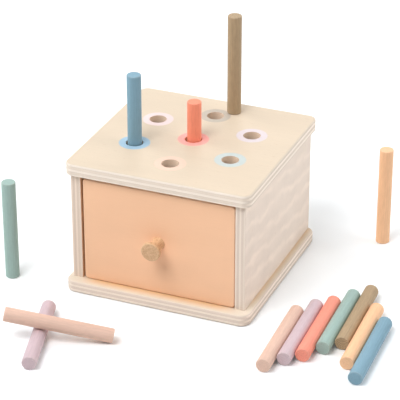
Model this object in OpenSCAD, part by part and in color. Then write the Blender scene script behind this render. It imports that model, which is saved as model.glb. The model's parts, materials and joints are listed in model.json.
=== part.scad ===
// Peg-drop permanence box: a birch plywood case with seven holes in its top board,
// a painted drawer that catches what drops through, and fourteen painted sticks.
// The origin is on the floor under the middle of the top board. The drawer faces -Y.

/* [Boards] */
// Overall height of the case
case_h = 118.5; // [114:0.5:124]
// Width and depth of the square top board
top_size = 165; // [162:1:172]
// Thickness of the top board
top_t = 11.5; // [10.5:0.5:13]
// Corner radius of the top board, seen from above
top_corner_r = 7.5; // [5:0.5:12]
// How far the base board reaches past the panels on the left
base_left_reach = 4; // [3:0.5:6]
// How far the base board reaches past the panels on the right
base_right_reach = 6; // [3:0.5:8]
// How far the base board reaches past the panels at the front
base_front_reach = 9.5; // [8:0.5:12]
// How far the base board reaches past the panels at the rear
base_rear_reach = 1.5; // [1:0.5:6]
// Thickness of the base board
base_t = 10.5; // [9:0.5:12]
// Corner radius of the base board, seen from above
base_corner_r = 9; // [6:0.5:10]
// Rounding of the top and base boards' edges
board_edge_r = 1.75; // [1:0.25:2.25]
// Thickness of the side panels and the back panel
side_t = 9; // [8.5:0.5:10]
// How far the side panels stand back from the top board's left and right edges
side_inset = 4.5; // [3.5:0.5:6]
// How far the side panels stand back from the top board's front and rear edges
front_inset = 4; // [3:0.5:6]
// Rounding of the side panels' upright edges
panel_edge_r = 0.6; // [0.4:0.1:1]

/* [Holes] */
// Diameter of the holes in the top board
hole_d = 15; // [14:0.5:17]
// Radius of the circle that the six outer holes sit on
hole_circle_r = 50; // [46:1:54]

/* [Drawer] */
// Thickness of the drawer front
drawer_front_t = 9; // [8:0.5:10]
// Corner radius of the drawer front
drawer_corner_r = 3; // [2.5:0.5:5]
// Rounding of the drawer front's edges
drawer_edge_r = 1; // [0.6:0.1:1.2]
// Width of the case that the drawer leaves free
drawer_play = 2.3; // [2:0.1:3]
// How far the drawer sits to the right of the middle
drawer_shift = 0.85; // [0:0.05:0.85]
// Gap between the base board and the drawer front
drawer_gap_below = 0.4; // [0.3:0.1:1.5]
// Gap between the drawer front and the top board
drawer_gap_above = 2.2; // [1.5:0.1:4]
// Gap between the base board and the drawer's walls
drawer_run_gap = 0.3; // [0.2:0.1:0.5]
// Gap between the closed drawer and the back panel
drawer_rear_gap = 2; // [1:0.5:4]
// Thickness of the drawer's side and rear walls
drawer_wall_t = 6; // [5.5:0.5:7]
// Height of the drawer's side and rear walls
drawer_wall_h = 45; // [40:1:47]
// Thickness of the drawer's floor panel
drawer_floor_t = 4; // [3:0.5:4]
// Height of the floor panel above the walls' lower edges
drawer_floor_lift = 3.5; // [3:0.5:4.5]

/* [Knob] */
// Length of the knob in front of the drawer
knob_l = 17; // [15:0.5:20]
// Diameter of the knob's front end
knob_head_d = 16.5; // [15:0.5:19]
// Diameter of the knob's neck
knob_neck_d = 9.5; // [8.5:0.5:10.5]
// Thickness of the knob's front rim
knob_rim_t = 3.5; // [3:0.5:5]
// Distance of the narrowest place from the knob's front end
knob_neck_at = 12; // [10.5:0.5:13]
// Rounding of the knob's front edge
knob_edge_r = 1.2; // [0.6:0.1:1.4]

/* [Sticks] */
// Diameter of a stick
stick_d = 12.1; // [11.5:0.1:12.1]
// Length of a stick
stick_l = 90.5; // [86:0.5:92]
// Rounding of a stick's ends
stick_edge_r = 0.8; // [0.5:0.1:1.5]
// Height of the blue stick above the top board
blue_stands_out = 62.5; // [50:0.5:70]
// Height of the coral stick above the top board
coral_stands_out = 35; // [30:0.5:50]
// Distance between the sticks in the row on the floor, middle to middle
row_pitch = 12.3; // [12.3:0.1:12.8]
// Heading of the sticks in the row
row_heading = 92.4; // [90:0.2:96]

/* [Fixings] */
// Diameter of the dowels between the top board and the panels
dowel_d = 6; // [5:0.5:6]
// Length of those dowels inside the top board
dowel_in_top = 6.5; // [5:0.5:7]
// Length of those dowels inside the panels
dowel_in_panel = 15; // [12:1:18]
// Diameter of the drawer's dowels
drawer_dowel_d = 4; // [3:0.5:4]
// Length of the drawer's dowels
drawer_dowel_l = 20; // [16:1:22]
// Shank diameter of the screws
screw_d = 3.5; // [3:0.5:4]
// Head diameter of the screws
screw_head_d = 7; // [6.5:0.5:8]
// Length of the screws under the base
screw_l = 30; // [25:1:35]
// Distance between neighbouring fixings along a side panel
fixing_pitch = 55; // [45:1:60]

/* [Hidden] */
$fn = 64;

birch = [0.95, 0.88, 0.78];
beech = [0.85, 0.71, 0.54];
steel = [0.75, 0.75, 0.77];
apricot = [0.93, 0.73, 0.59];
blue = [0.48, 0.64, 0.71];
coral = [0.97, 0.53, 0.43];
brown = [0.67, 0.54, 0.38];
green = [0.57, 0.70, 0.65];
orange = [0.95, 0.75, 0.55];
lilac = [0.85, 0.77, 0.80];
peach = [0.92, 0.78, 0.70];

// Cutting tools run this far past the faces that they open
cut = 1;
// Glue or thread gap round a dowel or a screw, on the radius
fixing_gap = 0.05;
// Free depth past the end of a dowel or a screw
end_gap = 0.5;
// Gap round the drawer's floor panel in its grooves
groove_gap = 0.1;

// Case, from the floor up
panel_top = case_h - top_t;
panel_h = panel_top - base_t;
side_out_x = top_size/2 - side_inset;
side_in_x = side_out_x - side_t;
side_mid_x = side_out_x - side_t/2;
panel_end_y = top_size/2 - front_inset;
back_in_y = panel_end_y - side_t;
base_w = 2*side_out_x + base_left_reach + base_right_reach;
base_d = 2*panel_end_y + base_front_reach + base_rear_reach;
base_middle = [(base_right_reach - base_left_reach)/2, (base_rear_reach - base_front_reach)/2, 0];

// Where the panels are fixed to the top and the base: three along each side, two in the back
back_fixing_x = 35;
case_fixings = concat(
  [for (x = [-side_mid_x, side_mid_x], i = [-1, 0, 1]) [x, i*fixing_pitch, 0]],
  [for (x = [-back_fixing_x, back_fixing_x]) [x, panel_end_y - side_t/2, 0]]
);

// Hole directions seen from above: rear, right rear, right front, front, left front, left rear
blue_hole_angle = -150;
function hole_place(angle) = [hole_circle_r*cos(angle), hole_circle_r*sin(angle), 0];
hole_places = concat([[0, 0, 0]], [for (angle = [90, 30, -30, -90, blue_hole_angle, 150]) hole_place(angle)]);

// Drawer, measured from its own middle, which lies drawer_shift to the right
drawer_w = 2*side_in_x - drawer_play;
front_h = panel_h - drawer_gap_below - drawer_gap_above;
front_bottom = base_t + drawer_gap_below;
front_back_y = -panel_end_y + drawer_front_t;
wall_bottom = base_t + drawer_run_gap;
wall_end_y = back_in_y - drawer_rear_gap;
wall_l = wall_end_y - front_back_y;
wall_in_x = drawer_w/2 - drawer_wall_t;
rear_in_y = wall_end_y - drawer_wall_t;
floor_bottom = wall_bottom + drawer_floor_lift;
groove_depth = drawer_wall_t/2;
dowel_in_front = 6;
drawer_dowel_heights = [wall_bottom + 14, wall_bottom + 35];

// Knob and its screw
knob_z = front_bottom + front_h/2;
knob_flare = (knob_head_d - knob_neck_d)/2;
knob_cove_r = (knob_flare^2 + (knob_neck_at - knob_rim_t)^2)/(2*knob_flare);
knob_screw_in_knob = 12;
knob_screw_hole_d = screw_d + 0.7;
knob_screw_head_t = 2.4;

// Cross recess of the screws
recess_w = 0.9;
recess_l = 4;
recess_depth = 1.2;
screw_sunk = 0.4;
screw_cone_h = (screw_head_d - screw_d)/2;

// Sticks in holes: how far they stand from the hole's middle
blue_offset = [0.25, 0.1, 0];
coral_offset = [0.7, 0.3, 0];

// Stick on the top board
brown_place = [12.2, 62.8, case_h];

// Sticks on the floor: the middle of the row, and how far each stick is pushed along it
row_middle = 150.1;
row_slips = [-105, -90, -79.8, -63.6, -51.6, -79, -98.2];
green_place = [-134.6, -82, 0];
orange_place = [141, 98, 0];
laid_place = [-65.8, -169.4];
laid_heading = 105.9;
leaning_foot = [-8.7, -148.8];
leaning_heading = 200;
leaning_tilt = 12;

// Flat outline with round corners, about the origin
module rounded_outline(w, d, r) {
  square([w - 2*r, d], center = true);
  square([w, d - 2*r], center = true);
  for (x = [-1, 1], y = [-1, 1])
    translate([x*(w/2 - r), y*(d/2 - r)]) circle(r);
}

// Round bar or disc along Z whose two rims are rounded by edge_r
module eased_round(r, h, edge_r) {
  rotate_extrude() {
    square([r - edge_r, h]);
    translate([0, edge_r]) square([r, h - 2*edge_r]);
    for (z = [edge_r, h - edge_r])
      translate([r - edge_r, z]) circle(edge_r);
  }
}

// Board lying on z = 0 with round corners and rounded edges all round
module eased_board(w, d, t, corner_r, edge_r) {
  for (x = [-1, 1], y = [-1, 1])
    translate([x*(w/2 - corner_r), y*(d/2 - corner_r), 0])
      eased_round(corner_r, t, edge_r);
  translate([0, 0, t/2]) {
    rotate([90, 0, 90]) linear_extrude(w - 2*corner_r, center = true) rounded_outline(d, t, edge_r);
    rotate([90, 0, 0]) linear_extrude(d - 2*corner_r, center = true) rounded_outline(w, t, edge_r);
  }
}

module at_case_fixings() {
  for (place = case_fixings) translate(place) children();
}

module case_dowel_holes() {
  at_case_fixings()
    translate([0, 0, panel_top - dowel_in_panel - end_gap])
      cylinder(h = dowel_in_panel + dowel_in_top + 2*end_gap, r = dowel_d/2 + fixing_gap);
}

module base_screw_holes() {
  at_case_fixings() {
    translate([0, 0, -cut])
      cylinder(h = screw_l + screw_sunk + end_gap + cut, r = screw_d/2 + fixing_gap);
    translate([0, 0, -cut])
      cylinder(h = screw_sunk + cut, r = screw_head_d/2 + fixing_gap);
    translate([0, 0, screw_sunk])
      cylinder(h = screw_cone_h, r1 = screw_head_d/2 + fixing_gap, r2 = screw_d/2 + fixing_gap);
  }
}

// Cross-shaped driver recess that opens downwards at z = 0
module cross_recess() {
  for (turn = [0, 90])
    rotate(turn) translate([-recess_l/2, -recess_w/2, -cut]) cube([recess_l, recess_w, recess_depth + cut]);
}

module top_board() {
  color(birch) difference() {
    translate([0, 0, panel_top])
      eased_board(top_size, top_size, top_t, top_corner_r, board_edge_r);
    for (place = hole_places)
      translate(place + [0, 0, panel_top - cut]) cylinder(h = top_t + 2*cut, d = hole_d);
    case_dowel_holes();
  }
}

module base_board() {
  color(birch) difference() {
    translate(base_middle) eased_board(base_w, base_d, base_t, base_corner_r, board_edge_r);
    base_screw_holes();
  }
}

// One upright side panel, its middle at x
module side_panel(x) {
  color(birch) difference() {
    translate([x, 0, base_t])
      linear_extrude(panel_h) rounded_outline(side_t, 2*panel_end_y, panel_edge_r);
    case_dowel_holes();
    base_screw_holes();
  }
}

module left_side() { side_panel(-side_mid_x); }

module right_side() { side_panel(side_mid_x); }

module back_panel() {
  color(birch) difference() {
    translate([-side_in_x, back_in_y, base_t]) cube([2*side_in_x, side_t, panel_h]);
    case_dowel_holes();
    base_screw_holes();
  }
}

module top_dowels() {
  color(beech) at_case_fixings()
    translate([0, 0, panel_top - dowel_in_panel])
      cylinder(h = dowel_in_panel + dowel_in_top, d = dowel_d);
}

module base_screws() {
  color(steel) at_case_fixings()
    translate([0, 0, screw_sunk]) difference() {
      union() {
        cylinder(h = screw_cone_h, d1 = screw_head_d, d2 = screw_d);
        cylinder(h = screw_l, d = screw_d);
      }
      cross_recess();
    }
}

// The drawer's dowels, or the holes for them when gap and free_end are given
module drawer_dowel_set(gap, free_end) {
  r = drawer_dowel_d/2 + gap;
  for (side = [-1, 1], z = drawer_dowel_heights) {
    translate([side*(drawer_w/2 - drawer_wall_t/2), front_back_y - dowel_in_front - free_end, z])
      rotate([-90, 0, 0]) cylinder(h = drawer_dowel_l + 2*free_end, r = r);
    translate([side*(drawer_w/2 + free_end), wall_end_y - drawer_wall_t/2, z])
      rotate([0, -side*90, 0]) cylinder(h = drawer_dowel_l + 2*free_end, r = r);
  }
}

module drawer_dowel_holes() { drawer_dowel_set(fixing_gap, end_gap); }

// Groove that the drawer's floor panel sits in, cut in the front and in all three walls
module floor_groove() {
  translate([-wall_in_x - groove_depth, front_back_y - groove_depth, floor_bottom - groove_gap])
    cube([
      2*(wall_in_x + groove_depth),
      rear_in_y - front_back_y + 2*groove_depth,
      drawer_floor_t + 2*groove_gap
    ]);
}

module in_drawer() {
  translate([drawer_shift, 0, 0]) children();
}

// Screw hole through the drawer front and into the knob
module knob_screw_hole(through_d, in_knob_d) {
  translate([0, front_back_y + cut, knob_z]) rotate([90, 0, 0]) {
    cylinder(h = drawer_front_t + cut, d = through_d);
    cylinder(h = drawer_front_t + knob_screw_in_knob + end_gap + cut, d = in_knob_d);
  }
}

module drawer_front() {
  color(apricot) in_drawer() difference() {
    translate([0, front_back_y, knob_z]) rotate([90, 0, 0])
      eased_board(drawer_w, front_h, drawer_front_t, drawer_corner_r, drawer_edge_r);
    floor_groove();
    drawer_dowel_holes();
    knob_screw_hole(knob_screw_hole_d, knob_screw_hole_d);
  }
}

// One drawer side wall: side is -1 on the left and 1 on the right
module drawer_wall(side) {
  color(birch) in_drawer() difference() {
    translate([side*(wall_in_x + drawer_wall_t/2), front_back_y + wall_l/2, wall_bottom + drawer_wall_h/2])
      cube([drawer_wall_t, wall_l, drawer_wall_h], center = true);
    floor_groove();
    drawer_dowel_holes();
  }
}

module drawer_left_wall() { drawer_wall(-1); }

module drawer_right_wall() { drawer_wall(1); }

module drawer_rear_wall() {
  color(birch) in_drawer() difference() {
    translate([-wall_in_x, rear_in_y, wall_bottom]) cube([2*wall_in_x, drawer_wall_t, drawer_wall_h]);
    floor_groove();
    drawer_dowel_holes();
  }
}

module drawer_floor() {
  inset = groove_depth - groove_gap;
  color(birch) in_drawer()
    translate([-wall_in_x - inset, front_back_y - inset, floor_bottom])
      cube([2*(wall_in_x + inset), rear_in_y - front_back_y + 2*inset, drawer_floor_t]);
}

module drawer_dowels() {
  color(beech) in_drawer() drawer_dowel_set(0, 0);
}

// Turned knob: a rim, then one round cove that narrows to the neck and flares at the drawer
module knob() {
  head_r = knob_head_d/2;
  color(beech) in_drawer() difference() {
    translate([0, -panel_end_y - knob_l, knob_z]) rotate([-90, 0, 0]) rotate_extrude() {
      difference() {
        translate([0, knob_edge_r]) square([head_r, knob_l - knob_edge_r]);
        translate([knob_neck_d/2 + knob_cove_r, knob_neck_at]) circle(knob_cove_r);
      }
      square([head_r - knob_edge_r, 2*knob_edge_r]);
      translate([head_r - knob_edge_r, knob_edge_r]) circle(knob_edge_r);
    }
    knob_screw_hole(screw_d + 2*fixing_gap, screw_d + 2*fixing_gap);
  }
}

module knob_screw() {
  color(steel) in_drawer()
    translate([0, front_back_y + knob_screw_head_t, knob_z]) rotate([90, 0, 0]) difference() {
      union() {
        cylinder(h = knob_screw_head_t, d = screw_head_d);
        cylinder(h = knob_screw_head_t + drawer_front_t + knob_screw_in_knob, d = screw_d);
      }
      cross_recess();
    }
}

// A stick standing on z = 0
module stick() {
  eased_round(stick_d/2, stick_l, stick_edge_r);
}

module upright_stick(paint, place) {
  color(paint) translate(place) stick();
}

// A stick that hangs in a hole with its top at a height above the top board
module hole_stick(paint, place, stands_out) {
  upright_stick(paint, place + [0, 0, case_h + stands_out - stick_l]);
}

// A stick lying on the floor about its middle
module laid_stick(paint, place, heading) {
  color(paint) translate([place[0], place[1], stick_d/2]) rotate([0, 90, heading])
    translate([0, 0, -stick_l/2]) stick();
}

// One stick of the row, counted from the left
module row_stick(paint, index) {
  across = row_middle + (index - (len(row_slips) - 1)/2)*row_pitch;
  along = row_slips[index];
  laid_stick(
    paint,
    [across*sin(row_heading) + along*cos(row_heading), along*sin(row_heading) - across*cos(row_heading)],
    row_heading
  );
}

module blue_stick_in_hole() { hole_stick(blue, hole_place(blue_hole_angle) + blue_offset, blue_stands_out); }

module coral_stick_in_hole() { hole_stick(coral, coral_offset, coral_stands_out); }

module brown_stick_on_top() { upright_stick(brown, brown_place); }

module green_stick_upright() { upright_stick(green, green_place); }

module orange_stick_upright() { upright_stick(orange, orange_place); }

module lilac_stick_laid() { laid_stick(lilac, laid_place, laid_heading); }

// Lies across the laid stick, with one end on the floor
module peach_stick_leaning() {
  color(peach) translate([leaning_foot[0], leaning_foot[1], stick_d/2*cos(leaning_tilt)])
    rotate([0, 90 - leaning_tilt, leaning_heading]) stick();
}

module peach_stick_in_row() { row_stick(peach, 0); }

module lilac_stick_in_row() { row_stick(lilac, 1); }

module coral_stick_in_row() { row_stick(coral, 2); }

module green_stick_in_row() { row_stick(green, 3); }

module brown_stick_in_row() { row_stick(brown, 4); }

module orange_stick_in_row() { row_stick(orange, 5); }

module blue_stick_in_row() { row_stick(blue, 6); }

top_board();
base_board();
left_side();
right_side();
back_panel();
top_dowels();
base_screws();
drawer_front();
drawer_left_wall();
drawer_right_wall();
drawer_rear_wall();
drawer_floor();
drawer_dowels();
knob();
knob_screw();
blue_stick_in_hole();
coral_stick_in_hole();
brown_stick_on_top();
green_stick_upright();
orange_stick_upright();
lilac_stick_laid();
peach_stick_leaning();
peach_stick_in_row();
lilac_stick_in_row();
coral_stick_in_row();
green_stick_in_row();
brown_stick_in_row();
orange_stick_in_row();
blue_stick_in_row();
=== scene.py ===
# %% [markdown]
# # A stick-drop box in birch and paint
# The object is a small toy: a birch plywood case with seven holes in its top, an apricot
# drawer that catches what drops through, and fourteen painted sticks. All shapes come from a
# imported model, which is loaded as a fixed frame. This lesson gives each surface its finish,
# places the camera and lights the scene. Nothing in the frame is moved or reshaped.

import json
import math

import bpy
import numpy as np
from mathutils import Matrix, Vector


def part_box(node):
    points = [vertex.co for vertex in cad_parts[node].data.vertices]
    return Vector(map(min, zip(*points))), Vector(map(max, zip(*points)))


MM = 0.001

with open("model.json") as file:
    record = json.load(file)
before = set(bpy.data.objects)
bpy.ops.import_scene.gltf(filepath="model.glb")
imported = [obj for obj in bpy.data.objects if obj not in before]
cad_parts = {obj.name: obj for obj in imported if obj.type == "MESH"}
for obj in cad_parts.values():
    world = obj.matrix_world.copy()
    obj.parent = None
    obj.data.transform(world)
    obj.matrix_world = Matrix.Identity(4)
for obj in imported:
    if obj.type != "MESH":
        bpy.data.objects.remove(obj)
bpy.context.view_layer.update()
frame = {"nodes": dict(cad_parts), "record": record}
pieces = frame["nodes"]

# %% [markdown]
# ## Camera
# A product picture like this is taken from far away with a long lens, so that upright edges
# stay nearly parallel. The camera is given by what it looks at, the two angles it looks
# from and its distance. That is easier to reason about than a position and three rotations.

# %% Camera
camera_target = Vector((4.28, 4.13, 59.21)) * MM
camera_azimuth = math.radians(22.34)
camera_elevation = math.radians(27.57)
camera_distance = 1732.7 * MM
lens_length, sensor_width = 181.4, 36.0

towards_camera = Vector((
    math.sin(camera_azimuth) * math.cos(camera_elevation),
    -math.cos(camera_azimuth) * math.cos(camera_elevation),
    math.sin(camera_elevation),
))
camera = bpy.data.objects.new("camera", bpy.data.cameras.new("camera"))
camera.data.sensor_width = sensor_width
camera.data.lens = lens_length
camera.location = camera_target + towards_camera * camera_distance
camera.rotation_euler = (-towards_camera).to_track_quat("-Z", "Y").to_euler()
bpy.context.scene.collection.objects.link(camera)
bpy.context.scene.camera = camera
print("camera at", [round(value, 3) for value in camera.location])

# %% [markdown]
# ## Helpers for shader nodes
# A procedural material is a graph of small nodes. Written out by hand, each node takes four
# or five lines, and the idea gets lost. These helpers add one node in one line and hand back
# its output, so that a material reads like a sum.

# %% Node helpers
def add_node(tree, kind, inputs=None, **options):
    """Adds a node, sets its options, then fills or links its sockets."""
    node = tree.nodes.new(kind)
    for option, value in options.items():
        setattr(node, option, value)
    for socket, value in (inputs or {}).items():
        if isinstance(value, bpy.types.NodeSocket):
            tree.links.new(value, node.inputs[socket])
        else:
            node.inputs[socket].default_value = value
    return node


def maths(tree, operation, *values):
    """One step of arithmetic on single numbers."""
    return add_node(tree, "ShaderNodeMath", dict(enumerate(values)), operation=operation).outputs[0]


def vectors(tree, operation, *values):
    """One step of arithmetic on places, directions or colours."""
    node = add_node(tree, "ShaderNodeVectorMath", dict(enumerate(values)), operation=operation)
    return node.outputs["Value" if operation in ("DOT_PRODUCT", "LENGTH") else "Vector"]


def scaled(tree, vector, factor):
    """A place, direction or colour times a number."""
    sockets = {0: vector, "Scale": factor}
    return add_node(tree, "ShaderNodeVectorMath", sockets, operation="SCALE").outputs[0]


def axes_of(tree, vector):
    """The X, Y and Z of a vector as three outputs."""
    return add_node(tree, "ShaderNodeSeparateXYZ", {0: vector}).outputs


def vector_of(tree, *values):
    """A vector from three numbers."""
    return add_node(tree, "ShaderNodeCombineXYZ", dict(enumerate(values))).outputs[0]


# A Mix node has two sockets and an output of its own for each kind of value
MIX_SOCKETS = {"FLOAT": (2, 3, 0), "VECTOR": (4, 5, 1), "RGBA": (6, 7, 2)}


def mix(tree, kind, share, first, second):
    """Blends two values of a kind; share 0 keeps the first."""
    first_socket, second_socket, result = MIX_SOCKETS[kind]
    sockets = {0: share, first_socket: first, second_socket: second}
    return add_node(tree, "ShaderNodeMix", sockets, data_type=kind).outputs[result]


def mix_colour(tree, share, first, second):
    """Blends two colours; share 0 keeps the first."""
    return mix(tree, "RGBA", share, first, second)


print("node helpers ready")

# %% [markdown]
# ## Noise
# Blender's noise gives smooth lumps around the value 0.5, and hardly ever comes near 0 or 1. So
# there is one helper for lumps of a given size, and three that turn a range of values into
# another: any range, the usual range of noise, and noise as a swing to both sides of zero.

# %% Noise helpers
MOST_NOISE, HALF_NOISE, MIDDLE_NOISE = (0.2, 0.8), (0.25, 0.75), (0.3, 0.7)


def noise(tree, place, sizes, detail=2.0, roughness=0.5):
    """Smooth noise around 0.5 whose lumps have these sizes along X, Y and Z."""
    stretched = vectors(tree, "DIVIDE", place, sizes)
    sockets = {"Vector": stretched, "Scale": 1.0, "Detail": detail, "Roughness": roughness}
    return add_node(tree, "ShaderNodeTexNoise", sockets).outputs[0]


def remap(tree, value, low, high, new_low=0.0, new_high=1.0):
    """Turns low..high into new_low..new_high along a smooth curve, and holds the ends."""
    limits = {"Value": value, "From Min": low, "From Max": high, "To Min": new_low, "To Max": new_high}
    return add_node(tree, "ShaderNodeMapRange", limits, interpolation_type="SMOOTHSTEP").outputs[0]


def spread(tree, pattern, low, high):
    """Spreads noise over low..high."""
    return remap(tree, pattern, *MOST_NOISE, low, high)


def swing(tree, pattern):
    """Turns the middle half of noise into a swing from -0.5 to 0.5."""
    return maths(tree, "SUBTRACT", remap(tree, pattern, *HALF_NOISE), 0.5)


print("noise is taken to keep to", MOST_NOISE)

# %% [markdown]
# ## Node groups and materials
# An effect that several materials share is built once as a node group with named sockets.
# Each material then places the group and gives it its own values. The shader itself, a
# Principled BSDF, stays in the material. Colours are written as everyday 0 to 255 screen
# values, and turned into the linear values that Blender calculates with.

# %% Groups
VECTOR, NUMBER, COLOUR = "NodeSocketVector", "NodeSocketFloat", "NodeSocketColor"
FINISH_OUTPUTS = {"Colour": COLOUR, "Roughness": NUMBER, "Height": NUMBER}


def start_group(name, inputs, outputs):
    """A new node group: its tree, what it is given, and where its results go."""
    tree = bpy.data.node_groups.new(name, "ShaderNodeTree")
    for title, kind in inputs.items():
        tree.interface.new_socket(title, in_out="INPUT", socket_type=kind)
    for title, kind in outputs.items():
        tree.interface.new_socket(title, in_out="OUTPUT", socket_type=kind)
    given = tree.nodes.new("NodeGroupInput").outputs
    results = tree.nodes.new("NodeGroupOutput").inputs
    return tree, given, results


def finish_group(tree, results, **values):
    """Links the results to the group's outputs of the same names."""
    for title, value in values.items():
        tree.links.new(value, results[title])
    print("group:", tree.name)
    return tree


def use_group(tree, group, inputs):
    """Places a group in a tree and hands back its outputs."""
    return add_node(tree, "ShaderNodeGroup", inputs, node_tree=group).outputs


print("a finish puts out", ", ".join(FINISH_OUTPUTS))


# %% Materials and colours
def tone(red, green, blue):
    """A screen colour as linear red, green, blue and alpha, by the sRGB rule."""
    shares = [value / 255 for value in (red, green, blue)]
    linear = [s / 12.92 if s <= 0.04045 else ((s + 0.055) / 1.055) ** 2.4 for s in shares]
    return (*linear, 1.0)


def start_material(name, gloss):
    """A new material with a plain Principled BSDF: its tree and the shader."""
    material = bpy.data.materials.new(name)
    material.use_nodes = True
    shader = material.node_tree.nodes["Principled BSDF"]
    shader.inputs["Specular IOR Level"].default_value = gloss
    return material.node_tree, shader


def finish_material(tree, shader, colour, roughness, height, bump_depth):
    """Links colour, roughness and a bump of that depth in metres to the shader."""
    bump = add_node(tree, "ShaderNodeBump", {"Height": height, "Distance": bump_depth})
    tree.links.new(colour, shader.inputs["Base Color"])
    tree.links.new(roughness, shader.inputs["Roughness"])
    tree.links.new(bump.outputs[0], shader.inputs["Normal"])


def paint_piece(name, tree):
    """Gives a piece of the frame the material that owns this tree."""
    material = next(m for m in bpy.data.materials if m.node_tree == tree)
    for slot in pieces[name].material_slots:
        slot.material = material
    print("finish:", name, "->", material.name)


print("screen grey 128 is", round(tone(128, 128, 128)[0], 3), "in linear light")

# %% [markdown]
# ## Floor, world and lamps
# The light is that of a white studio: large soft lamps on the left, on the right and behind, a
# smaller one high in front, and hardly any light from elsewhere. The lamps are kept at a level
# where a colour renders about as it is written. The floor should look like pure white paper
# with only faint shadows. More light would wash out the wood, so the floor's material does it:
# the camera and reflections see it a little whiter, with a trace of glow, than the rays that
# carry light from it to the object. Far from the object, where the lamps don't reach, the glow
# grows to plain white.

# %% Floor
FLOOR_HALF = 10.0
FLOOR_DROP = 0.1 * MM
FLOOR_BOUNCE = (0.85, 0.85, 0.85, 1.0)
FLOOR_SEEN = (0.95, 0.98, 1.0, 1.0)
NEAR_GLOW, FAR_GLOW = 0.07, 1.0
LIT_REACH, WHITE_REACH = 0.9, 2.5


def seen_directly(tree):
    """1 for rays from the camera, a reflection or glass, and 0 for rays that carry light."""
    path = add_node(tree, "ShaderNodeLightPath").outputs
    shiny = maths(tree, "MAXIMUM", path["Is Glossy Ray"], path["Is Transmission Ray"])
    return maths(tree, "MAXIMUM", path["Is Camera Ray"], shiny)


corner_ways = ((-1, -1), (1, -1), (1, 1), (-1, 1))
floor_corners = [(x * FLOOR_HALF, y * FLOOR_HALF, -FLOOR_DROP) for x, y in corner_ways]
floor_mesh = bpy.data.meshes.new("floor")
floor_mesh.from_pydata(floor_corners, [], [(0, 1, 2, 3)])
floor = bpy.data.objects.new("floor", floor_mesh)
bpy.context.scene.collection.objects.link(floor)
print("floor", 2 * FLOOR_HALF, "m across")

# %% Floor material
floor_material = bpy.data.materials.new("white floor")
floor_material.use_nodes = True
tree = floor_material.node_tree
tree.nodes.clear()
seen = seen_directly(tree)
floor_white = mix_colour(tree, seen, FLOOR_BOUNCE, FLOOR_SEEN)
floor_paper = add_node(tree, "ShaderNodeBsdfDiffuse", {"Color": floor_white})
from_object = vectors(tree, "LENGTH", add_node(tree, "ShaderNodeTexCoord").outputs["Object"])
floor_glow = remap(tree, from_object, LIT_REACH, WHITE_REACH, NEAR_GLOW, FAR_GLOW)
floor_lift = maths(tree, "MULTIPLY", seen, floor_glow)
floor_shine = add_node(tree, "ShaderNodeEmission", {"Strength": floor_lift})
floor_layers = {0: floor_paper.outputs[0], 1: floor_shine.outputs[0]}
floor_sum = add_node(tree, "ShaderNodeAddShader", floor_layers)
add_node(tree, "ShaderNodeOutputMaterial", {"Surface": floor_sum.outputs[0]})
floor_mesh.materials.append(floor_material)
print("floor glow", NEAR_GLOW, "near the object and", FAR_GLOW, "far from it")

# %% World
SURROUND_LIGHT, SURROUND_SEEN = 0.02, 1.0
WHITE = (1.0, 1.0, 1.0, 1.0)

world = bpy.data.worlds.new("white surround")
bpy.context.scene.world = world
world.use_nodes = True
tree = world.node_tree
tree.nodes.clear()
world_light = add_node(tree, "ShaderNodeBackground", {"Color": WHITE, "Strength": SURROUND_LIGHT})
world_white = add_node(tree, "ShaderNodeBackground", {"Color": WHITE, "Strength": SURROUND_SEEN})
world_layers = {0: seen_directly(tree), 1: world_light.outputs[0], 2: world_white.outputs[0]}
world_mix = add_node(tree, "ShaderNodeMixShader", world_layers)
add_node(tree, "ShaderNodeOutputWorld", {"Surface": world_mix.outputs[0]})
bpy.context.scene.view_settings.view_transform = "Standard"
print("surround gives", SURROUND_LIGHT, "of white as light")


# %% Lamps
def soft_lamp(name, direction, distance, size, level):
    """A square lamp that lights a surface facing it, at the object, to this level of white."""
    lamp = bpy.data.objects.new(name, bpy.data.lights.new(name, "AREA"))
    towards_lamp = Vector(direction).normalized()
    lamp.location = towards_lamp * distance
    lamp.rotation_euler = (-towards_lamp).to_track_quat("-Z", "Y").to_euler()
    lamp.data.size = size
    lamp.data.energy = level * math.pi**2 * distance**2
    bpy.context.scene.collection.objects.link(lamp)
    print(name, "at", [round(value, 2) for value in lamp.location], round(lamp.data.energy, 1), "W")


soft_lamp("left_lamp", (-0.70, -0.14, 0.70), distance=2.5, size=2.3, level=0.58)
soft_lamp("front_lamp", (-0.14, -0.53, 0.83), distance=2.2, size=1.0, level=0.64)
soft_lamp("right_lamp", (0.83, 0.30, 0.47), distance=2.2, size=2.0, level=0.56)
soft_lamp("rear_lamp", (0.0, 0.80, 0.60), distance=2.2, size=2.0, level=0.43)

# %% [markdown]
# ## Wood grain
# Wood is stretched along its fibres, so its pattern is noise that is long one way and narrow
# the other two. Sizes are in millimetres, because that is how a joiner sees them: streaks some
# 45 mm long and half a millimetre wide, finer fibres between them, small dark flecks, and broad
# clouds of colour. Because the noise fills space, a cut across the fibres shows specks by itself.

# %% Group: wood grain
STREAK_SIZE = (45.0, 0.6, 0.6)
FIBRE_SIZE = (12.0, 0.17, 0.17)
FLECK_SIZE = (5.0, 0.8, 0.8)
CLOUD_SIZE = (70.0, 24.0, 24.0)
FLECK_LEVELS = (0.70, 0.78)


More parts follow.
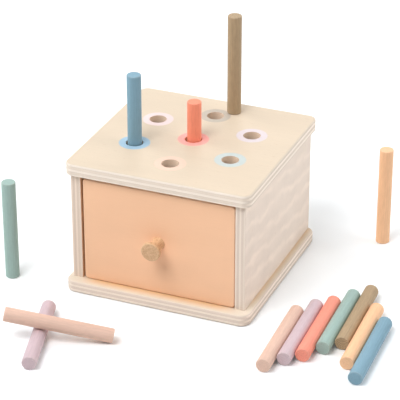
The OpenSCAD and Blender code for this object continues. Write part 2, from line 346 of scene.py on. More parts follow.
def make_wood_grain():
    """Patterns from 0 to 1 for a place in millimetres whose X runs along the fibres."""
    outputs = dict.fromkeys(("Streaks", "Fibres", "Flecks", "Clouds"), NUMBER)
    tree, given, results = start_group("wood grain", {"Place": VECTOR}, outputs)
    place = given["Place"]
    return finish_group(
        tree,
        results,
        Streaks=noise(tree, place, STREAK_SIZE, detail=3.0, roughness=0.6),
        Fibres=noise(tree, place, FIBRE_SIZE),
        Flecks=remap(tree, noise(tree, place, FLECK_SIZE, detail=1.0), *FLECK_LEVELS),
        Clouds=noise(tree, place, CLOUD_SIZE, detail=3.0),
    )


wood_grain = make_wood_grain()

# %% [markdown]
# ## Birch plywood
# A plywood board is a stack of veneers, each laid across the one below. Its faces show long
# fibres. Its edges show bands: where fibres run along the edge the band is pale, and where they
# meet the edge end-on it is darker, so front and side edges show opposite bands. They stand out
# most at the ends of a board. Pictures of edges would have to be lined up by hand on every board.
# The group works the bands out from the depth in the board and from the way the surface faces, so
# that rounded edges and drilled holes come right by themselves.
#
# Some veneers have a ripple across the fibres, which shows as soft waves on the side panels. Its
# crests are narrower than its troughs, so a second wave of half the length is added to the first.

# %% Group: veneer ripple
# Pitch in mm, slant in mm for each mm across, and bend in waves
RIPPLE_PITCH, RIPPLE_SLANT, RIPPLE_BEND = 17.0, 0.10, 1.2
BEND_SIZE = (30.0, 24.0, 1.0)
PATCH_SIZE, PATCH_LEVELS = (12.0, 20.0, 1.0), (0.25, 0.7)
SECOND_WAVE = 0.4


def make_veneer_ripple():
    """Soft waves across the fibres, a little askew, that come and go in patches."""
    tree, given, results = start_group("veneer ripple", {"Place": VECTOR}, {"Ripple": NUMBER})
    along, across, _ = axes_of(tree, given["Place"])
    flat = vector_of(tree, along, across, 0.0)
    bend = maths(tree, "MULTIPLY", noise(tree, flat, BEND_SIZE), RIPPLE_BEND)
    slanted = maths(tree, "MULTIPLY_ADD", across, RIPPLE_SLANT, along)
    turns = maths(tree, "ADD", maths(tree, "DIVIDE", slanted, RIPPLE_PITCH), bend)
    wave = maths(tree, "COSINE", maths(tree, "MULTIPLY", turns, 2 * math.pi))
    crest = maths(tree, "COSINE", maths(tree, "MULTIPLY", turns, 4 * math.pi))
    wave = maths(tree, "MULTIPLY_ADD", crest, SECOND_WAVE, wave)
    patches = remap(tree, noise(tree, flat, PATCH_SIZE), *PATCH_LEVELS)
    return finish_group(tree, results, Ripple=maths(tree, "MULTIPLY", wave, patches))


veneer_ripple = make_veneer_ripple()

# %% Which ply a spot lies in
PLY_WAVER, PLY_WAVER_SIZE = 0.5, (16.0, 16.0, 16.0)


def find_ply(tree, given, on_edge):
    """Number of the ply from 0, the way through it from 0 to 1, and 1 where it lies crosswise."""
    place = given["Place"]
    waver = maths(tree, "MULTIPLY_ADD", noise(tree, place, PLY_WAVER_SIZE), PLY_WAVER, -PLY_WAVER / 2)
    depth = maths(tree, "MULTIPLY_ADD", waver, on_edge, axes_of(tree, place)["Z"])
    depth = maths(tree, "SUBTRACT", depth, given["Sanded"])
    count = maths(tree, "MULTIPLY", maths(tree, "DIVIDE", depth, given["Thickness"]), given["Plies"])
    last = maths(tree, "SUBTRACT", given["Plies"], 1.0)
    ply = maths(tree, "MINIMUM", maths(tree, "MAXIMUM", maths(tree, "FLOOR", count), 0.0), last)
    return ply, maths(tree, "SUBTRACT", count, ply), maths(tree, "MODULO", ply, 2.0)


print("plies waver within", PLY_WAVER, "mm")

# %% Light and dark on a board
STREAK_SHADES, FIBRE_SHADES, CLOUD_SHADES = (0.972, 1.02), (0.985, 1.015), (0.982, 1.015)
PLY_TINT = 0.05
END_GRAIN_AT = (0.3, 0.9)
BOARD_END_DARK, BOARD_END_PALE = -0.07, 0.09


def board_shade(tree, grain, facing, on_edge, ply, crossed):
    """How light each spot is: grain, a tint for each ply, and stronger bands at the board's ends."""
    shade = spread(tree, grain["Streaks"], *STREAK_SHADES)
    shade = maths(tree, "MULTIPLY", shade, spread(tree, grain["Fibres"], *FIBRE_SHADES))
    shade = maths(tree, "MULTIPLY", shade, remap(tree, grain["Clouds"], *MIDDLE_NOISE, *CLOUD_SHADES))
    ply_chance = add_node(tree, "ShaderNodeTexWhiteNoise", {"W": ply}, noise_dimensions="1D")
    ply_tint = maths(tree, "MULTIPLY_ADD", ply_chance.outputs[0], PLY_TINT, 1 - PLY_TINT / 2)
    shade = maths(tree, "MULTIPLY", shade, remap(tree, on_edge, 0.0, 1.0, 1.0, ply_tint))
    bands = maths(tree, "MULTIPLY_ADD", crossed, BOARD_END_PALE - BOARD_END_DARK, BOARD_END_DARK)
    bands = maths(tree, "MULTIPLY", bands, remap(tree, facing["X"], *END_GRAIN_AT))
    return maths(tree, "MULTIPLY_ADD", bands, shade, shade)


print("bands at a board's ends:", BOARD_END_DARK, "to", BOARD_END_PALE)

# %% Group: birch plywood
EDGE_UP_TO, FACE_FROM = 0.45, 0.95
GLUE, GLUE_SHARE, GLUE_AT = tone(150, 118, 92), 0.35, (0.455, 0.49)
FLECK, FLECK_SHARE = tone(176, 132, 92), 0.22
FACE_ROUGHNESS, END_GRAIN_ROUGHER = (0.5, 0.62), 0.15
STREAK_HEIGHT, FIBRE_HEIGHT, GLUE_DEPTH = 0.6, 0.4, 0.8


def make_birch_plywood():
    """Finish of a board; Place and Facing have X along the fibres of its face and Z through it."""
    inputs = dict.fromkeys(("Place", "Facing"), VECTOR)
    inputs.update(dict.fromkeys(("Thickness", "Plies", "Sanded", "Ripple"), NUMBER))
    inputs.update(dict.fromkeys(("Face Colour", "Side Grain Colour", "End Grain Colour"), COLOUR))
    tree, given, results = start_group("birch plywood", inputs, FINISH_OUTPUTS)
    place = given["Place"]
    along, across, depth = axes_of(tree, place)
    facing = axes_of(tree, vectors(tree, "ABSOLUTE", given["Facing"]))
    on_edge = remap(tree, facing["Z"], EDGE_UP_TO, FACE_FROM, 1.0, 0.0)
    ply, through, crossed = find_ply(tree, given, on_edge)

    # Fibres turn a quarter in every second ply
    turned = vector_of(tree, across, along, depth)
    fibre_place = mix(tree, "VECTOR", crossed, place, turned)
    end_on = mix(tree, "FLOAT", crossed, facing["X"], facing["Y"])
    end_grain = remap(tree, end_on, *END_GRAIN_AT)
    grain = use_group(tree, wood_grain, {"Place": fibre_place})

    # Glue lines are dark and thin, and show only on edges
    from_middle = maths(tree, "ABSOLUTE", maths(tree, "SUBTRACT", through, 0.5))
    glue = maths(tree, "MULTIPLY", remap(tree, from_middle, *GLUE_AT), on_edge)

    # Colour: face or edge, then light and dark, ripple on the faces, flecks and glue
    long_grain = mix_colour(tree, on_edge, given["Face Colour"], given["Side Grain Colour"])
    wood = mix_colour(tree, end_grain, long_grain, given["End Grain Colour"])
    shade = board_shade(tree, grain, facing, on_edge, ply, crossed)
    ripple = use_group(tree, veneer_ripple, {"Place": place})["Ripple"]
    ripple = maths(tree, "MULTIPLY", ripple, maths(tree, "SUBTRACT", 1.0, on_edge))
    ripple = maths(tree, "MULTIPLY", ripple, given["Ripple"])
    colour = scaled(tree, wood, maths(tree, "MULTIPLY_ADD", ripple, shade, shade))
    colour = mix_colour(tree, maths(tree, "MULTIPLY", grain["Flecks"], FLECK_SHARE), colour, FLECK)
    colour = mix_colour(tree, maths(tree, "MULTIPLY", glue, GLUE_SHARE), colour, GLUE)

    roughness = spread(tree, grain["Streaks"], *FACE_ROUGHNESS)
    roughness = maths(tree, "MULTIPLY_ADD", end_grain, END_GRAIN_ROUGHER, roughness)
    height = maths(tree, "MULTIPLY", grain["Fibres"], FIBRE_HEIGHT)
    height = maths(tree, "MULTIPLY_ADD", grain["Streaks"], STREAK_HEIGHT, height)
    height = maths(tree, "SUBTRACT", height, maths(tree, "MULTIPLY", glue, GLUE_DEPTH))
    return finish_group(tree, results, Colour=colour, Roughness=roughness, Height=height)


birch_plywood = make_birch_plywood()

# %% [markdown]
# ## Where each board's fibres run
# The group needs every board in the same pose: X along the fibres of its face, Y across, Z
# through the thickness. A board's own place is in its mesh, so its box gives the corner to
# measure from, and a little table says which way its fibres run and which way is through it.
# The top and base boards lie flat with fibres from left to right. The side panels stand with
# upright fibres, and their ripple then lies level, as curly birch does. The panels' inner faces,
# which show in the gaps beside the drawer, are painted a warmer brown: painted warm light thrown back
# by the apricot drawer into the gaps. The bands in the base's edge sit
# high, as if its upper face had been sanded away a little, so the table can say by how much.

# %% Boards
BIRCH_TOP = tone(218, 201, 179)
BIRCH_BASE = tone(229, 215, 197)
BIRCH_PANEL = tone(240, 225, 211)
# Painted warm light, thrown back by the drawer, on the panels' inner faces
INNER_FACE_BOUNCE = tone(238, 196, 158)

# Edge colours of a board: where fibres run along the edge, and where they end at it
PALE_EDGE = (tone(247, 235, 222), tone(236, 222, 206))
COOL_EDGE = (tone(242, 228, 214), tone(229, 213, 199))
WARM_EDGE = (tone(240, 222, 206), tone(227, 208, 191))

PANEL = {"along": "Z", "face": BIRCH_PANEL}
DRAWER_BOARD = {"face": BIRCH_PANEL, "edge": WARM_EDGE, "plies": 3}
BOARDS = {
    "top_board": {"along": "X", "through": "Z", "face": BIRCH_TOP, "edge": PALE_EDGE},
    "base_board": {"along": "X", "through": "Z", "face": BIRCH_BASE, "edge": COOL_EDGE, "sanded": 1.3},
    "left_side": {**PANEL, "through": "X", "edge": WARM_EDGE, "inner_way": 1, "ripple": 0.065},
    "right_side": {**PANEL, "through": "X", "edge": COOL_EDGE, "inner_way": -1, "ripple": 0.065},
    "back_panel": {**PANEL, "through": "Y", "edge": COOL_EDGE, "inner_way": -1, "ripple": 0.04},
    "drawer_left_wall": {**DRAWER_BOARD, "along": "Y", "through": "X"},
    "drawer_right_wall": {**DRAWER_BOARD, "along": "Y", "through": "X"},
    "drawer_rear_wall": {**DRAWER_BOARD, "along": "X", "through": "Y"},
    "drawer_floor": {**DRAWER_BOARD, "along": "Y", "through": "Z", "ripple": 0.02},
}
print(len(BOARDS), "boards")


# %% Place and facing on a board
# A surface faces a way not at all up to the first share of its facing, and fully from the second
FACING_AT = (0.5, 0.9)


def board_places(tree, name, along, through):
    """Place in mm from the board's lowest corner, and facing, both along, across and through it."""
    across = ({"X", "Y", "Z"} - {along, through}).pop()
    source = add_node(tree, "ShaderNodeTexCoord").outputs
    from_corner = vectors(tree, "SUBTRACT", source["Object"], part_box(name)[0])
    place = axes_of(tree, scaled(tree, from_corner, 1 / MM))
    facing = axes_of(tree, source["Normal"])
    order = (along, across, through)
    return [vector_of(tree, *[given[axis] for axis in order]) for given in (place, facing)]


def board_size(name):
    """Size of a piece along X, Y and Z in mm."""
    low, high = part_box(name)
    return (high - low) / MM


print("top board in mm:", [round(size, 1) for size in board_size("top_board")])

# %% Board materials
WOOD_GLOSS = 0.3
PLYWOOD_BUMP = 0.03 * MM


def start_board(name, along, through, face, edge, plies=5, inner_way=0, sanded=0.0, ripple=0.0):
    """Tree and shader of a board's material, its plywood outputs, and place and facing.

    inner_way says which way, along the thickness, an inner face with painted warm bounce light looks;
    0 is for none.
    sanded is how much of the upper face is sanded away, in mm.
    """
    tree, shader = start_material(name.replace("_", " ") + " birch", WOOD_GLOSS)
    place, facing = board_places(tree, name, along, through)
    # The inner face gets the painted warm bounce light
    if inner_way:
        inwards = maths(tree, "MULTIPLY", axes_of(tree, facing)["Z"], inner_way)
        face = mix_colour(tree, remap(tree, inwards, *FACING_AT), face, INNER_FACE_BOUNCE)
    values = {
        "Place": place, "Facing": facing, "Thickness": board_size(name)["XYZ".index(through)],
        "Plies": plies, "Sanded": sanded, "Ripple": ripple, "Face Colour": face,
        "Side Grain Colour": edge[0], "End Grain Colour": edge[1],
    }
    return tree, shader, use_group(tree, birch_plywood, values), place, facing


for board, choices in BOARDS.items():
    if board not in ("top_board", "base_board"):
        tree, shader, wood, _, _ = start_board(board, **choices)
        finish_material(tree, shader, wood["Colour"], wood["Roughness"], wood["Height"], PLYWOOD_BUMP)
        paint_piece(board, tree)

# %% [markdown]
# ## The ledge of the base
# The strip of base in front of the drawer and beside the panels is painted warmer towards them, but
# not at its left end or its front right corner. This is painted light and shade: warm light thrown
# back by the apricot drawer, and shade in the corner at the feet of the panels. One picture doesn't
# tell whether that is a stain or light thrown back by the drawer. Lamps can't be aimed at so narrow a
# strip, so the finish carries it, as a tint that grows from the board's outline inwards and fades out
# at those two places.

# %% Base board
# Painted warm bounce light from the drawer and painted shade in the corners by the panels
LEDGE_BOUNCE_AND_SHADE, LEDGE_BOUNCE_SHARE = tone(225, 177, 116), 0.7
WARMER_FROM, WARMEST_FROM = 0.5, 9.0
LEFT_CLEAR, LEFT_TINTED = 8.0, 30.0
RIGHT_CLEAR, RIGHT_TINTED = 12.0, 34.0

tree, shader, wood, place, facing = start_board("base_board", **BOARDS["base_board"])
base_half = board_size("base_board") / 2
from_middle = vectors(tree, "ABSOLUTE", vectors(tree, "SUBTRACT", place, base_half))
inset = axes_of(tree, vectors(tree, "SUBTRACT", base_half, from_middle))
from_outline = maths(tree, "MINIMUM", inset["X"], inset["Y"])
from_right_front = vectors(tree, "SUBTRACT", place, (2 * base_half.x, 0.0, 2 * base_half.z))
from_right_front = vectors(tree, "LENGTH", from_right_front)

# The painted bounce light and shade grows from the outline inwards, on upward faces only
painted_bounce_and_shade = remap(tree, from_outline, WARMER_FROM, WARMEST_FROM, 0.0, LEDGE_BOUNCE_SHARE)
painted_bounce_and_shade = maths(tree, "MULTIPLY", painted_bounce_and_shade, remap(tree, axes_of(tree, facing)["Z"], *FACING_AT))
left_end = remap(tree, axes_of(tree, place)["X"], LEFT_CLEAR, LEFT_TINTED)
painted_bounce_and_shade = maths(tree, "MULTIPLY", painted_bounce_and_shade, left_end)
right_corner = remap(tree, from_right_front, RIGHT_CLEAR, RIGHT_TINTED)
painted_bounce_and_shade = maths(tree, "MULTIPLY", painted_bounce_and_shade, right_corner)
colour = mix_colour(tree, painted_bounce_and_shade, wood["Colour"], LEDGE_BOUNCE_AND_SHADE)
finish_material(tree, shader, colour, wood["Roughness"], wood["Height"], PLYWOOD_BUMP)
paint_piece("base_board", tree)

# %% [markdown]
# ## Painted rings on the top board
# A ring of paint surrounds each hole: blue and coral for the two sticks that stand there, and
# soft tints for the rest. The paint is flush with the wood, so it is a layer in the top board's
# material and not a separate piece. A ring is everything within a radius of the hole's axis, and
# its rim wavers a little, as brushed paint does. The axes come from the frame: the record names
# the five empty holes, and the two with sticks lie on the same circle and in its middle. The
# drilled walls are a warmer brown, with painted shade that darkens them downwards into the hole,
# and the same group finds them.

# %% Group: painted ring
RIM_WAVER, RIM_WAVER_SIZE = 0.7, (4.0, 4.0, 4.0)
RIM_BLUR = (-1.0, 0.5)
WALL_BLUR = (0.2, 0.8)


def make_painted_ring():
    """Masks round an upright axis: 1 on the ring of paint, and 1 on the wall of the bore."""
    inputs = dict.fromkeys(("Place", "Facing", "Centre"), VECTOR)
    inputs.update({"Outer Radius": NUMBER, "Bore Radius": NUMBER})
    tree, given, results = start_group("painted ring", inputs, {"Mask": NUMBER, "Bore": NUMBER})
    flat = vectors(tree, "MULTIPLY", given["Place"], (1.0, 1.0, 0.0))
    from_axis = vectors(tree, "LENGTH", vectors(tree, "SUBTRACT", flat, given["Centre"]))
    waver = noise(tree, given["Place"], RIM_WAVER_SIZE)
    waver = maths(tree, "MULTIPLY_ADD", waver, RIM_WAVER, -RIM_WAVER / 2)
    past_rim = maths(tree, "SUBTRACT", maths(tree, "ADD", from_axis, waver), given["Outer Radius"])
    past_wall = maths(tree, "SUBTRACT", from_axis, given["Bore Radius"])
    on_top = remap(tree, axes_of(tree, given["Facing"])["Z"], *FACING_AT)
    ring = maths(tree, "MULTIPLY", remap(tree, past_rim, *RIM_BLUR, 1.0, 0.0), on_top)
    wall = remap(tree, past_wall, *WALL_BLUR, 1.0, 0.0)
    wall = maths(tree, "MULTIPLY", wall, maths(tree, "SUBTRACT", 1.0, on_top))
    return finish_group(tree, results, Mask=ring, Bore=wall)


painted_ring = make_painted_ring()

# %% Axes of the holes
hole_axes = {mount["name"]: Vector(mount["pos_m"]) for mount in frame["record"]["mounts"]}
hole_axes["hole_middle"] = (hole_axes["hole_front"] + hole_axes["hole_rear"]) / 2
hole_axes["hole_left_front"] = 2 * hole_axes["hole_middle"] - hole_axes["hole_right_rear"]
print("hole with the blue stick at", [round(v / MM, 1) for v in hole_axes["hole_left_front"]], "mm")

# %% Top board
RING_RADIUS, BORE_RADIUS = 13.5, 7.5
RING_COVER, RING_COVER_AT = (0.86, 1.0), (0.2, 0.5)
DRILLED, DRILLED_SHARE, DRILLED_PAINTED_SHADE = tone(235, 211, 188), 0.8, (0.7, 1.1)
RING_COLOURS = {
    "hole_left_front": tone(161, 192, 212),
    "hole_middle": tone(244, 172, 163),
    "hole_left_rear": tone(236, 214, 212),
    "hole_rear": tone(193, 182, 168),
    "hole_right_rear": tone(220, 208, 211),
    "hole_right_front": tone(197, 206, 204),
    "hole_front": tone(234, 203, 183),
}

tree, shader, wood, place, facing = start_board("top_board", **BOARDS["top_board"])
colour, height, bores = wood["Colour"], wood["Height"], 0.0
ring_cover = remap(tree, wood["Height"], *RING_COVER_AT, *RING_COVER)
for hole, ring_colour in RING_COLOURS.items():
    centre = (hole_axes[hole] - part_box("top_board")[0]) / MM
    values = {
        "Place": place, "Facing": facing, "Centre": (centre.x, centre.y, 0.0),
        "Outer Radius": RING_RADIUS, "Bore Radius": BORE_RADIUS,
    }
    ring = use_group(tree, painted_ring, values)
    colour = mix_colour(tree, maths(tree, "MULTIPLY", ring["Mask"], ring_cover), colour, ring_colour)
    height = maths(tree, "ADD", height, ring["Mask"])
    bores = maths(tree, "MAXIMUM", ring["Bore"], bores)

# Painted shade: the drilled walls get darker towards the bottom of the board
wall_painted_shade = remap(tree, axes_of(tree, place)["Z"], 0.0, board_size("top_board").z, *DRILLED_PAINTED_SHADE)
wall_colour = scaled(tree, DRILLED[:3], wall_painted_shade)
colour = mix_colour(tree, maths(tree, "MULTIPLY", bores, DRILLED_SHARE), colour, wall_colour)
finish_material(tree, shader, colour, wood["Roughness"], height, PLYWOOD_BUMP)
paint_piece("top_board", tree)

# %% [markdown]
# ## Paint over wood
# The drawer front and the sticks have a thin coat of matt paint. Under it the fibres still show
# as a faint ridge here and there, the colour is never quite even, and handling rubs the edges
# paler. The group takes the place on the wood, the paint's colour, how rubbed the spot is and how
# strongly the grain shows.

# %% Group: paint over wood
STIPPLE_SIZE, STIPPLE_HEIGHT = (0.5, 0.5, 0.5), 0.25
LUMP_SIZE, LUMP_SHARE = (7.0, 1.4, 1.4), 0.8
GRAIN_CONTRAST, CLOUD_CONTRAST = 0.09, 0.03
RUBBED_WOOD, RUBBED_SHARE, RUBBED_PATCHES = tone(240, 226, 208), 0.35, (0.35, 1.0)
PAINT_ROUGHNESS = (0.55, 0.68)


def make_paint_over_wood():
    """Finish of a thin matt coat on wood."""
    inputs = {"Place": VECTOR, "Paint": COLOUR, "Rubbed": NUMBER, "Grain": NUMBER}
    tree, given, results = start_group("paint over wood", inputs, FINISH_OUTPUTS)
    grain = use_group(tree, wood_grain, {"Place": given["Place"]})
    lumps = noise(tree, given["Place"], LUMP_SIZE, detail=3.0)
    uneven = maths(tree, "MULTIPLY_ADD", swing(tree, lumps), LUMP_SHARE, swing(tree, grain["Streaks"]))
    uneven = maths(tree, "MULTIPLY", uneven, given["Grain"])
    shade = maths(tree, "MULTIPLY_ADD", uneven, GRAIN_CONTRAST, 1.0)
    shade = maths(tree, "MULTIPLY_ADD", swing(tree, grain["Clouds"]), CLOUD_CONTRAST, shade)
    coat = scaled(tree, given["Paint"], shade)
    rubbed = remap(tree, grain["Fibres"], *MIDDLE_NOISE, *RUBBED_PATCHES)
    rubbed = maths(tree, "MULTIPLY", given["Rubbed"], rubbed)
    colour = mix_colour(tree, maths(tree, "MULTIPLY", rubbed, RUBBED_SHARE), coat, RUBBED_WOOD)
    stipple = noise(tree, given["Place"], STIPPLE_SIZE)
    roughness = spread(tree, stipple, *PAINT_ROUGHNESS)
    ridges = maths(tree, "MULTIPLY", grain["Streaks"], given["Grain"])
    height = maths(tree, "MULTIPLY_ADD", stipple, STIPPLE_HEIGHT, ridges)
    return finish_group(tree, results, Colour=colour, Roughness=roughness, Height=height)


paint_over_wood = make_paint_over_wood()

# %% [markdown]
# ## Drawer front
# The drawer front is one board in matt apricot, with its fibres from left to right. Only its
# outline is rubbed. How far a spot is from the outline comes from the front's own box.

# %% Drawer front
APRICOT = tone(250, 202, 165)
APRICOT_GRAIN = 0.10
PAINT_GLOSS = 0.3
PAINT_BUMP = 0.03 * MM
RUBBED_WIDTH = 1.3

tree, shader = start_material("apricot drawer paint", PAINT_GLOSS)
front_low, front_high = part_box("drawer_front")
source = add_node(tree, "ShaderNodeTexCoord").outputs
from_middle = vectors(tree, "SUBTRACT", source["Object"], (front_high + front_low) / 2)
place = scaled(tree, from_middle, 1 / MM)
front_half = board_size("drawer_front") / 2
to_edge = axes_of(tree, vectors(tree, "SUBTRACT", front_half, vectors(tree, "ABSOLUTE", place)))
nearest_edge = maths(tree, "MINIMUM", to_edge["X"], to_edge["Z"])
rubbed = remap(tree, nearest_edge, 0.0, RUBBED_WIDTH, 1.0, 0.0)
values = {"Place": place, "Paint": APRICOT, "Rubbed": rubbed, "Grain": APRICOT_GRAIN}
coat = use_group(tree, paint_over_wood, values)
finish_material(tree, shader, coat["Colour"], coat["Roughness"], coat["Height"], PAINT_BUMP)
paint_piece("drawer_front", tree)

# %% [markdown]
# ## Sticks
# Fourteen sticks, two in each of seven colours, are cut from round rod. They stand, lie and lean,
# so each one needs its own direction for the grain. It is measured on the mesh: the direction in
# which the stick's points spread most is its length. On the cut ends the paint sinks in, which
# makes them a touch deeper in colour, and growth rings show through. Each stick gets its own
# piece of the endless grain pattern, so that no two look the same.

# %% Group: stick paint
ROD_STEP = 137.0
RING_HEART, RINGS_PER_MM = (0.0, 3.2, -2.1), 0.75
RING_WOBBLE_SIZE = (40.0, 3.0, 3.0)
RING_CONTRAST, RING_HEIGHT, END_SUNK = 0.06, 0.3, -0.01
END_BLUR, RIM_WIDTH, RIM_RUBBED = (0.05, 0.5), (0.4, 1.5), 0.3


def make_stick_paint():
    """Paint on a round stick; Place is in mm from its middle with X along it."""
    inputs = {"Place": VECTOR, "Paint": COLOUR}
    inputs.update(dict.fromkeys(("Half Length", "Radius", "Rod", "Rings", "Grain"), NUMBER))
    tree, given, results = start_group("stick paint", inputs, FINISH_OUTPUTS)
    along, across, over = axes_of(tree, given["Place"])
    round_place = vector_of(tree, 0.0, across, over)
    to_end = maths(tree, "SUBTRACT", given["Half Length"], maths(tree, "ABSOLUTE", along))
    to_side = maths(tree, "SUBTRACT", given["Radius"], vectors(tree, "LENGTH", round_place))
    at_end = remap(tree, to_end, *END_BLUR, 1.0, 0.0)
    rim = remap(tree, maths(tree, "ADD", to_end, to_side), *RIM_WIDTH, RIM_RUBBED, 0.0)

    # Growth rings about a heart that lies off the rod's axis
    rod_along = maths(tree, "MULTIPLY_ADD", given["Rod"], ROD_STEP, along)
    rod_place = vector_of(tree, rod_along, across, over)
    from_heart = vectors(tree, "LENGTH", vectors(tree, "SUBTRACT", round_place, RING_HEART))
    wobble = noise(tree, rod_place, RING_WOBBLE_SIZE)
    ring_count = maths(tree, "MULTIPLY_ADD", from_heart, RINGS_PER_MM, wobble)
    rings = maths(tree, "SINE", maths(tree, "MULTIPLY", ring_count, 2 * math.pi))
    rings = maths(tree, "MULTIPLY", maths(tree, "MULTIPLY", rings, given["Rings"]), at_end)
    end_shade = maths(tree, "MULTIPLY_ADD", at_end, END_SUNK, 1.0)
    end_shade = maths(tree, "MULTIPLY_ADD", rings, RING_CONTRAST, end_shade)

    paint = scaled(tree, given["Paint"], end_shade)
    values = {"Place": rod_place, "Paint": paint, "Rubbed": rim, "Grain": given["Grain"]}
    coat = use_group(tree, paint_over_wood, values)
    height = maths(tree, "MULTIPLY_ADD", rings, RING_HEIGHT, coat["Height"])
    colour, roughness = coat["Colour"], coat["Roughness"]
    return finish_group(tree, results, Colour=colour, Roughness=roughness, Height=height)


stick_paint = make_stick_paint()


# %% Direction of a stick
def stick_measures(name):
    """Middle of a stick, three directions, its length first, then half length and radius in metres."""
    points = np.array([tuple(vertex.co) for vertex in pieces[name].data.vertices])
    most_spread = np.linalg.svd(points - points.mean(axis=0), full_matrices=False)[2]
    length = Vector(most_spread[0])
    length = length if max(length, key=abs) > 0 else -length

    # Any direction well away from the length gives the two across it
    aside = Vector((1, 0, 0)) if abs(length.x) < 0.7 else Vector((0, 1, 0))
    across = length.cross(aside).normalized()
    directions = [length, across, length.cross(across)]
    reach = points @ np.array(directions).T
    low, high = reach.min(axis=0), reach.max(axis=0)
    middle = sum((axis * float(m) for axis, m in zip(directions, (low + high) / 2)), Vector())
    half = (high - low) / 2
    return middle, directions, float(half[0]), float(half[1])


blue_length = stick_measures("blue_stick_in_hole")[1][0]
print("blue stick in its hole points", [round(value, 2) for value in blue_length])

# %% Sticks
STICK_COLOURS = {
    "blue": tone(128, 164, 182),
    "coral": tone(249, 155, 134),
    "brown": tone(174, 150, 119),
    "green": tone(160, 186, 179),
    "orange": tone(248, 198, 156),
    "lilac": tone(209, 188, 194),
    "peach": tone(227, 192, 174),
}
# The coral stick in its hole is brighter than the one in the row
BRIGHTER_CORAL = tone(253, 151, 122)
USUAL_RINGS, RING_STRENGTH = 0.5, {"brown": 4.5, "coral": 1.2, "lilac": 1.2, "peach": 1.0}
USUAL_GRAIN, GRAIN_STRENGTH = 1.0, {"brown": 1.8}

stick_names = sorted(name for name in pieces if "_stick_" in name)
for rod, name in enumerate(stick_names):
    paint_name = name.split("_")[0]
    paint = BRIGHTER_CORAL if name == "coral_stick_in_hole" else STICK_COLOURS[paint_name]
    middle, directions, half_length, radius = stick_measures(name)
    tree, shader = start_material(name.replace("_", " ") + " paint", PAINT_GLOSS)
    source = add_node(tree, "ShaderNodeTexCoord").outputs
    from_middle = scaled(tree, vectors(tree, "SUBTRACT", source["Object"], middle), 1 / MM)
    place = vector_of(tree, *[vectors(tree, "DOT_PRODUCT", from_middle, axis) for axis in directions])
    values = {
        "Place": place, "Paint": paint, "Half Length": half_length / MM, "Radius": radius / MM,
        "Rod": rod, "Rings": RING_STRENGTH.get(paint_name, USUAL_RINGS),
        "Grain": GRAIN_STRENGTH.get(paint_name, USUAL_GRAIN),
    }
    coat = use_group(tree, stick_paint, values)
    finish_material(tree, shader, coat["Colour"], coat["Roughness"], coat["Height"], PAINT_BUMP)
    paint_piece(name, tree)

# %% [markdown]
# ## Beech knob and dowels
# The knob is turned from beech rod with a clear matt finish. Beech has a warmer colour than
# birch, and is peppered with short dark rays. On the knob's front they are cut end-on, so it
# looks mottled. The dowels in the case and in the drawer are of the same wood.

# %% Group: beech
RAY_SIZE, RAY_LEVELS, RAY_SHARE, RAY_DEPTH = (3.5, 0.9, 0.45), (0.52, 0.68), 0.5, 0.6
MOTTLE_SIZE, MOTTLE_LEVELS, MOTTLE_SHARE = (9.0, 2.0, 2.0), (0.3, 0.7), 0.5
BEECH_FIBRE_SHADES, BEECH_END_SHADE, BEECH_END_AT = (0.95, 1.04), 0.91, (0.5, 0.95)
BEECH_ROUGHNESS = (0.45, 0.6)


def make_beech():
    """Finish of beech; Place is in mm with X along the fibres."""
    inputs = {"Place": VECTOR, "End On": NUMBER, "Wood": COLOUR, "Dark Wood": COLOUR}
    tree, given, results = start_group("beech", inputs, FINISH_OUTPUTS)
    place = given["Place"]
    grain = use_group(tree, wood_grain, {"Place": place})
    rays = remap(tree, noise(tree, place, RAY_SIZE, detail=1.0), *RAY_LEVELS)
    mottle = remap(tree, noise(tree, place, MOTTLE_SIZE), *MOTTLE_LEVELS)
    dark = maths(tree, "MULTIPLY_ADD", rays, RAY_SHARE, maths(tree, "MULTIPLY", mottle, MOTTLE_SHARE))
    colour = mix_colour(tree, dark, given["Wood"], given["Dark Wood"])
    shade = spread(tree, grain["Fibres"], *BEECH_FIBRE_SHADES)
    end_shade = remap(tree, given["End On"], *BEECH_END_AT, 1.0, BEECH_END_SHADE)
    colour = scaled(tree, colour, maths(tree, "MULTIPLY", shade, end_shade))
    roughness = spread(tree, grain["Streaks"], *BEECH_ROUGHNESS)
    height = maths(tree, "SUBTRACT", grain["Fibres"], maths(tree, "MULTIPLY", rays, RAY_DEPTH))
    return finish_group(tree, results, Colour=colour, Roughness=roughness, Height=height)


beech = make_beech()

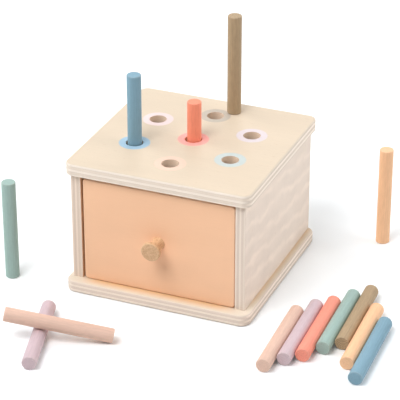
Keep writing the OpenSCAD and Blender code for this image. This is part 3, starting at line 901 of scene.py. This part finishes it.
# %% Knob and dowels
BEECH = tone(234, 195, 154)
BEECH_DARK = tone(196, 149, 110)
BEECH_GLOSS = 0.35
BEECH_BUMP = 0.04 * MM

# Piece: the three directions of its place, with the fibres' own direction first
BEECH_PIECES = {"knob": "YXZ", "top_dowels": "ZXY", "drawer_dowels": "YXZ"}

for name, order in BEECH_PIECES.items():
    tree, shader = start_material(name.replace("_", " ") + " beech", BEECH_GLOSS)
    source = add_node(tree, "ShaderNodeTexCoord").outputs
    place = axes_of(tree, scaled(tree, source["Object"], 1 / MM))
    fibres = vector_of(tree, *[place[axis] for axis in order])
    end_on = maths(tree, "ABSOLUTE", axes_of(tree, source["Normal"])[order[0]])
    values = {"Place": fibres, "End On": end_on, "Wood": BEECH, "Dark Wood": BEECH_DARK}
    wood = use_group(tree, beech, values)
    finish_material(tree, shader, wood["Colour"], wood["Roughness"], wood["Height"], BEECH_BUMP)
    paint_piece(name, tree)

# %% [markdown]
# ## Zinc screws
# Countersunk screws hold the base from below, and one holds the knob from inside the drawer.
# Bright zinc is a metal with a fine crystal mottle and slightly varied gloss. A metal's colour is
# its reflection, so the mottle goes mostly into the roughness.

# %% Screws
ZINC = tone(200, 202, 206)
ZINC_DULL = tone(172, 172, 170)
ZINC_GLOSS = 0.5
ZINC_BUMP = 0.01 * MM
ZINC_ROUGHNESS = (0.28, 0.46)
CRYSTAL_SIZE = (0.7, 0.7, 0.7)
DULL_SIZE, DULL_LEVELS = (2.5, 2.5, 2.5), (0.35, 0.7)

tree, shader = start_material("zinc plated steel", ZINC_GLOSS)
shader.inputs["Metallic"].default_value = 1.0
place = scaled(tree, add_node(tree, "ShaderNodeTexCoord").outputs["Object"], 1 / MM)
crystals = noise(tree, place, CRYSTAL_SIZE, detail=4.0, roughness=0.65)
dull = remap(tree, noise(tree, place, DULL_SIZE), *DULL_LEVELS)
colour = mix_colour(tree, dull, ZINC, ZINC_DULL)
roughness = spread(tree, crystals, *ZINC_ROUGHNESS)
finish_material(tree, shader, colour, roughness, crystals, ZINC_BUMP)
for name in ("base_screws", "knob_screw"):
    paint_piece(name, tree)
